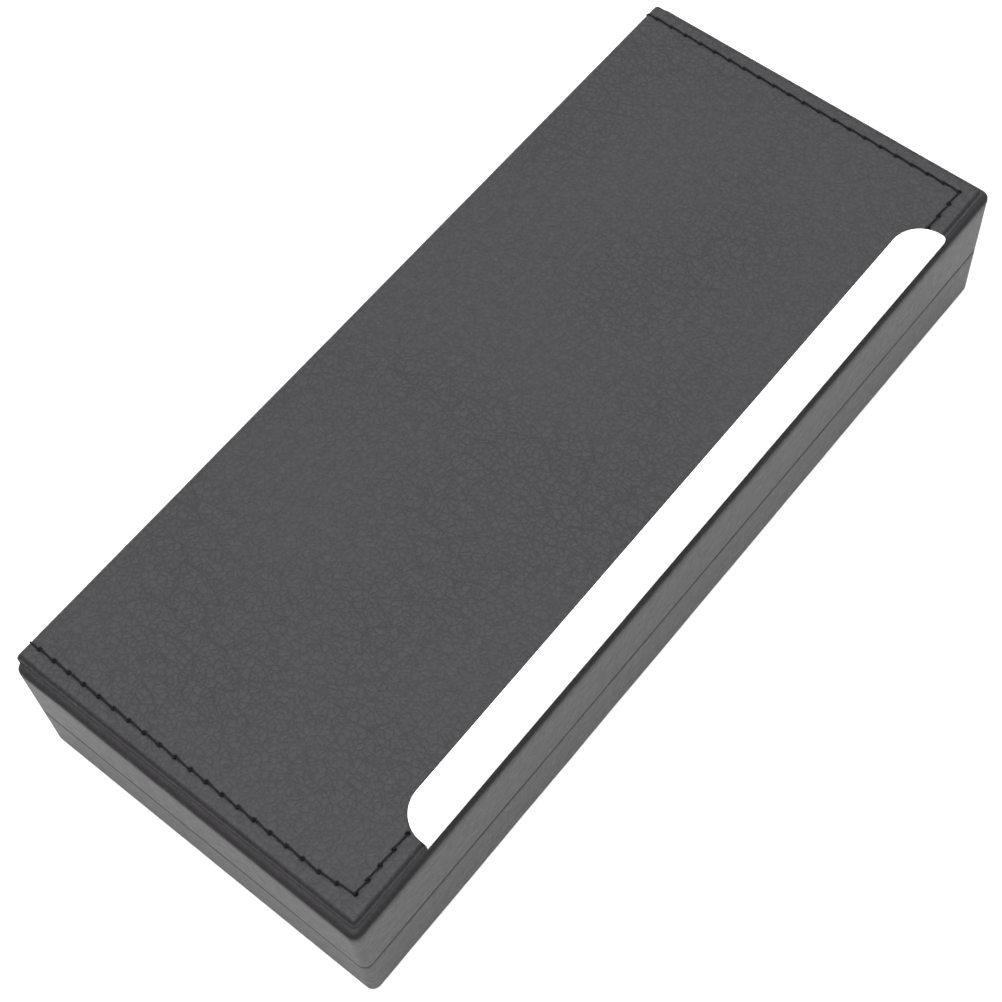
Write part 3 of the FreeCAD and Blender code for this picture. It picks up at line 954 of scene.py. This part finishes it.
def plate():
    """Long plate with round back corners, its front edge bent down over the panel's edge."""
    x0, x1 = plate_low.x, plate_high.x
    y0, y1 = plate_low.y, plate_high.y
    top, foot = plate_high.z, plate_low.z
    lip = top - PLATE_BEND - foot
    bend = PLATE_BEND * math.pi / 2
    flat = y1 - y0 - PLATE_BEND
    rounded = PLATE_END * (1 - np.cos(np.radians(np.linspace(0, 90, 25))))
    vs = np.concatenate(
        [
            np.linspace(0, lip, 5),
            lip + bend * np.linspace(0, 1, 9)[1:],
            [lip + bend + 0.5 * (flat - PLATE_END)],
            lip + bend + flat - rounded[::-1],
        ]
    )
    vs = np.unique(np.round(vs, 8))
    rows = []
    share = (1 - np.cos(np.linspace(0, math.pi, 61))) / 2
    for v in vs:
        angle = np.clip((v - lip) / PLATE_BEND, 0, math.pi / 2)
        if v <= lip:
            y, z = y0, foot + v
        elif v <= lip + bend:
            y = y0 + PLATE_BEND * (1 - math.cos(angle))
            z = top - PLATE_BEND + PLATE_BEND * math.sin(angle)
        else:
            y, z = y0 + PLATE_BEND + v - lip - bend, top
        into = max(0.0, PLATE_END - (y1 - y))
        pull = PLATE_END - math.sqrt(max(PLATE_END**2 - into**2, 0.0))
        xs = (x0 + pull) + (x1 - x0 - 2 * pull) * share
        rows.append([(x, y, z) for x in xs])
    grid = np.array(rows)
    points, faces = shell(grid, PLATE_SHEET)
    piece = make_piece("trim_plate", points, faces, metal, 30)
    face_outward(piece)
    edge = piece.modifiers.new("edge", "BEVEL")
    edge.width = PLATE_EDGE
    edge.segments = 3
    edge.limit_method = "ANGLE"
    edge.angle_limit = math.radians(50)
    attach(piece, "lid")
    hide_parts("front_plate")
    return piece


plate()


# ---------------------------------------------------------------- insert and lining


def lined_bar(name, node, body, lengthwise, top_radius, seed):
    """Thin suede-covered wall with a soft rounded top, swept along its length."""
    low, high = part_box(node)
    half = (high.y - low.y if lengthwise == "x" else high.x - low.x) / 2
    radius = min(top_radius, half - 0.05 * MM)
    section = np.concatenate(
        [
            [(-half, low.z)],
            straight((-half, low.z), (-half, high.z - radius), 3.5 * MM),
            arc((-half + radius, high.z - radius), radius, 180, 90, 5),
            arc((half - radius, high.z - radius), radius, 90, 0, 5),
            straight((half, high.z - radius), (half, low.z), 3.5 * MM),
            [(half, low.z)],
        ]
    )
    start, end = (low.x, high.x) if lengthwise == "x" else (low.y, high.y)
    middle = (low.y + high.y) / 2 if lengthwise == "x" else (low.x + high.x) / 2
    steps = max(8, round((end - start) / (3.0 * MM)))
    run = np.linspace(start, end, steps + 1)
    grid = np.zeros((len(run), len(section), 3))
    along, across = (0, 1) if lengthwise == "x" else (1, 0)
    grid[..., along] = run[:, None]
    grid[..., across] = middle + section[None, :, 0]
    grid[..., 2] = section[None, :, 1]
    lift = 0.12 * MM * ripple(grid, 26 * MM, seed).reshape(grid.shape[:2])
    height = smooth_step(low.z, low.z + 6 * MM, grid[..., 2])
    soft_ends = smooth_step(0, 4 * MM, np.minimum(run - start, end - run))[:, None]
    grid[..., across] += lift * height * soft_ends * 0.6
    grid[..., 2] += (
        0.12 * MM * ripple(grid, 18 * MM, seed + 0.5).reshape(grid.shape[:2]) * height - 0.1 * MM * height
    )
    rows, columns = grid.shape[:2]
    faces = grid_faces(rows, columns, close_columns=True)
    faces.append(list(range(columns)))
    faces.append([(rows - 1) * columns + k for k in range(columns)][::-1])
    piece = make_piece(name, grid, faces, lining, 50)
    face_outward(piece)
    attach(piece, body)
    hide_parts(node)
    return piece


for order, side in enumerate(("front", "back", "left", "right")):
    lengthwise = "x" if side in ("front", "back") else "y"
    lined_bar(
        f"{side}_rail_lined", f"insert_{side}_rail", "base", lengthwise, 0.75 * MM, 10 + order
    )
for index in range(1, 5):
    lined_bar(
        f"divider_{index}_lined", f"divider_{index}", "base", "y", 1.4 * MM, 20 + index
    )


def pad_mesh(low, high, facing, start_gap, edge_radius, step):
    """Closed pad with rounded edges, flat on one side. Facing (1 or -1) is where its soft side looks."""
    depth = high.z - low.z - start_gap
    radius = min(edge_radius, depth)

    def spread(a, b):
        near = radius * (1 - np.cos(np.radians(np.linspace(0, 90, 6))))
        count = max(4, round((b - a - 2 * radius) / step))
        inner = np.linspace(a + radius, b - radius, count + 1)
        return np.concatenate([a + near[:-1], inner, (b - near[:-1])[::-1]])

    xs, ys = spread(low.x, high.x), spread(low.y, high.y)
    gap_x = np.minimum(xs - low.x, high.x - xs)
    gap_y = np.minimum(ys - low.y, high.y - ys)

    def fall(gap):
        return radius - np.sqrt(np.maximum(radius**2 - (radius - np.minimum(gap, radius)) ** 2, 0))

    drop = np.maximum(fall(gap_x)[None, :], fall(gap_y)[:, None])
    x, y = np.meshgrid(xs, ys)
    if facing > 0:
        crown, seat = low.z + depth - drop, low.z
    else:
        crown, seat = high.z - depth + drop, high.z
    top = np.stack([x, y, crown], -1)
    seated = top.copy()
    seated[..., 2] = seat
    rows, columns = top.shape[:2]
    count = rows * columns
    faces = grid_faces(rows, columns)
    faces += [face[::-1] for face in grid_faces(rows, columns, first=count)]
    faces += border_faces(rows, columns)
    return np.concatenate([top.reshape(-1, 3), seated.reshape(-1, 3)]), faces, count


def swell(piece, loose_count, most):
    """Swells a pad by cloth simulation. Points past loose_count stay, and none moves further than most."""
    rest = np.array([v.co for v in piece.data.vertices])
    held = piece.vertex_groups.new(name="held")
    held.add(list(range(loose_count, len(rest))), 1.0, "REPLACE")
    modifier = piece.modifiers.new("swell", "CLOTH")
    settings = modifier.settings
    settings.quality = 4
    settings.mass = 0.2
    settings.tension_stiffness = settings.compression_stiffness = 12
    settings.shear_stiffness = 6
    settings.bending_stiffness = 0.6
    settings.use_pressure = True
    settings.uniform_pressure_force = 4.0
    settings.vertex_group_mass = "held"
    settings.effector_weights.gravity = 0.0
    modifier.collision_settings.use_collision = False
    modifier.collision_settings.use_self_collision = False
    modifier.point_cache.frame_start = 1
    modifier.point_cache.frame_end = 20
    scene = bpy.context.scene
    for number in range(1, 21):
        scene.frame_set(number)
    evaluated = piece.evaluated_get(bpy.context.evaluated_depsgraph_get())
    moved = np.array([v.co for v in evaluated.data.vertices])
    piece.modifiers.remove(modifier)
    scene.frame_set(1)
    shift = moved - rest
    size = np.linalg.norm(shift, axis=1, keepdims=True)
    shift *= np.minimum(1, most * np.tanh(size / most) / np.maximum(size, 1e-9))
    piece.data.vertices.foreach_set("co", (rest + shift).ravel())
    piece.data.update()


def pad(name, node, body, facing, start_gap, edge_radius, step, most, seed):
    """Padded piece: a rounded pad, swollen by simulation, with slight dents, smoothed once."""
    low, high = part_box(node)
    points, faces, loose_count = pad_mesh(low, high, facing, start_gap, edge_radius, step)
    piece = make_piece(name, points, faces, lining, 60)
    face_outward(piece)
    swell(piece, loose_count, most)
    now = np.array([v.co for v in piece.data.vertices])
    soft = np.zeros(len(now))
    soft[:loose_count] = smooth_step(
        0, 0.8 * (high.z - low.z), np.abs(now[:loose_count, 2] - (low.z if facing > 0 else high.z))
    )
    now[:, 2] += facing * 0.22 * MM * ripple(now, 30 * MM, seed) * soft
    now[:, 0] = np.clip(now[:, 0], low.x, high.x)
    now[:, 1] = np.clip(now[:, 1], low.y, high.y)
    piece.data.vertices.foreach_set("co", now.ravel())
    piece.data.attributes["rest"].data.foreach_set("vector", now.astype(np.float32).ravel())
    piece.data.update()
    smooth = piece.modifiers.new("smooth", "SUBSURF")
    smooth.levels = smooth.render_levels = 1
    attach(piece, body)
    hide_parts(node)
    return piece


for index in range(1, 6):
    pad(
        f"slot_{index}_pad",
        f"slot_pad_{index}",
        "base",
        facing=1,
        start_gap=0.9 * MM,
        edge_radius=1.6 * MM,
        step=3.5 * MM,
        most=1.3 * MM,
        seed=30 + index,
    )
pad(
    "lid_ceiling_cushion",
    "lid_ceiling_pad",
    "lid",
    facing=-1,
    start_gap=0.9 * MM,
    edge_radius=1.2 * MM,
    step=4.5 * MM,
    most=1.2 * MM,
    seed=40,
)


def wall_lining():
    """Suede band round the inside of the lid, above the turned-in leatherette."""
    low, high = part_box("lid_wall_lining")
    tray_low, tray_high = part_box("lid_leather_wrap")
    outer, inner = WALL - SKIN, WALL
    foot, head = low.z, high.z
    lip = 0.3 * MM
    section = np.concatenate(
        [
            [(outer, head), (outer, foot)],
            arc((inner - lip, foot + lip), lip, -90, 0, 4),
            straight((inner, foot + lip), (inner, head), 2.5 * MM),
            [(inner, head)],
        ]
    )
    grid = sweep(tray_low, tray_high, section)
    rows, columns = grid.shape[:2]
    faces = grid_faces(rows, columns, close_rows=True, close_columns=True)
    piece = make_piece("lid_wall_suede", grid, faces, lining, 50)
    face_outward(piece)
    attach(piece, "lid")
    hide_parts("lid_wall_lining")


wall_lining()


def underside():
    """Felt sheet under the base."""
    low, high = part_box("base_underside_sheet")
    edge = 0.3 * MM
    xs = with_fill([low.x, low.x + edge, high.x - edge, high.x], 4.0 * MM)
    ys = with_fill([low.y, low.y + edge, high.y - edge, high.y], 4.0 * MM)
    x, y = np.meshgrid(xs, ys)
    gap = np.minimum(np.minimum(x - low.x, high.x - x), np.minimum(y - low.y, high.y - y))
    z = low.z + 0.04 * MM + 0.25 * MM * np.clip(1 - gap / edge, 0, 1)
    grid = np.stack([x, y, z], -1)
    grid[..., 2] += 0.03 * MM * ripple(grid, 12 * MM, 50).reshape(x.shape)
    lower = grid[::-1]
    points, faces = shell(lower, 0)
    points[len(points) // 2 :, 2] = high.z
    piece = make_piece("underside_felt", points, faces, felt, 50)
    face_outward(piece)
    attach(piece, "base")
    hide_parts("base_underside_sheet")


underside()


# ---------------------------------------------------------------- CAD nodes that stay

for node_name, node in frame["nodes"].items():
    if "magnet" in node_name:
        finish = magnet
    elif node_name == "plate_tape":
        finish = tape
    else:
        finish = board
    node.data.materials.clear()
    node.data.materials.append(finish)


# ---------------------------------------------------------------- floor, light and camera


def floor():
    steps = 25
    line = np.linspace(-FLOOR_HALF, FLOOR_HALF, steps)
    x, y = np.meshgrid(line, line)
    grid = np.stack([x, y, np.full_like(x, -0.05 * MM)], -1)
    material, tree, shader = new_material("floor_paint", Roughness=0.85, Specular_IOR_Level=0.2)
    at = place(tree)
    cloud = noise_at(tree, at, 3.0, 2.0).outputs["Fac"]
    tone = mix_colours(tree, cloud, (0.93, 0.93, 0.93), (0.95, 0.95, 0.95))
    tree.links.new(tone, shader.inputs["Base Color"])
    piece = make_piece("floor", grid, grid_faces(steps, steps), material)


def world():
    """Soft studio surround: bright overhead, dimmer towards the horizon."""
    surround = bpy.data.worlds.new("studio")
    surround.use_nodes = True
    tree = surround.node_tree
    at = add(tree, "ShaderNodeTexCoord").outputs["Generated"]
    height = add(tree, "ShaderNodeSeparateXYZ", {0: at}).outputs["Z"]
    level = remap(tree, height, 0.15, 0.8, HORIZON, ZENITH, smooth=True)
    background = tree.nodes["Background"]
    colour = add(tree, "ShaderNodeCombineColor", {0: level, 1: level, 2: level}).outputs[0]
    tree.links.new(colour, background.inputs["Color"])
    background.inputs["Strength"].default_value = 1.0
    bpy.context.scene.world = surround


def softbox(name, at, target, size, power):
    light = bpy.data.lights.new(name, "AREA")
    light.shape = "RECTANGLE"
    light.size, light.size_y = size
    light.energy = power
    lamp = bpy.data.objects.new(name, light)
    lamp.location = at
    lamp.rotation_euler = (Vector(target) - Vector(at)).to_track_quat("-Z", "Y").to_euler()
    bpy.context.scene.collection.objects.link(lamp)


def camera():
    lens = bpy.data.cameras.new("camera")
    lens.lens = CAMERA_LENS
    lens.sensor_width = 36.0
    lens.shift_x, lens.shift_y = CAMERA_SHIFT
    lens.clip_start, lens.clip_end = 0.01, 50
    holder = bpy.data.objects.new("camera", lens)
    holder.location = CAMERA_AT
    holder.rotation_euler = [math.radians(a) for a in CAMERA_TURN]
    bpy.context.scene.collection.objects.link(holder)
    bpy.context.scene.camera = holder


floor()
world()
softbox("overhead", SOFTBOX_AT, (0.0, 0.0, 0.0), (SOFTBOX_SIZE, SOFTBOX_SIZE), SOFTBOX_POWER)
camera()
bpy.context.scene.view_settings.view_transform = "Standard"
bpy.context.scene.view_settings.look = "None"
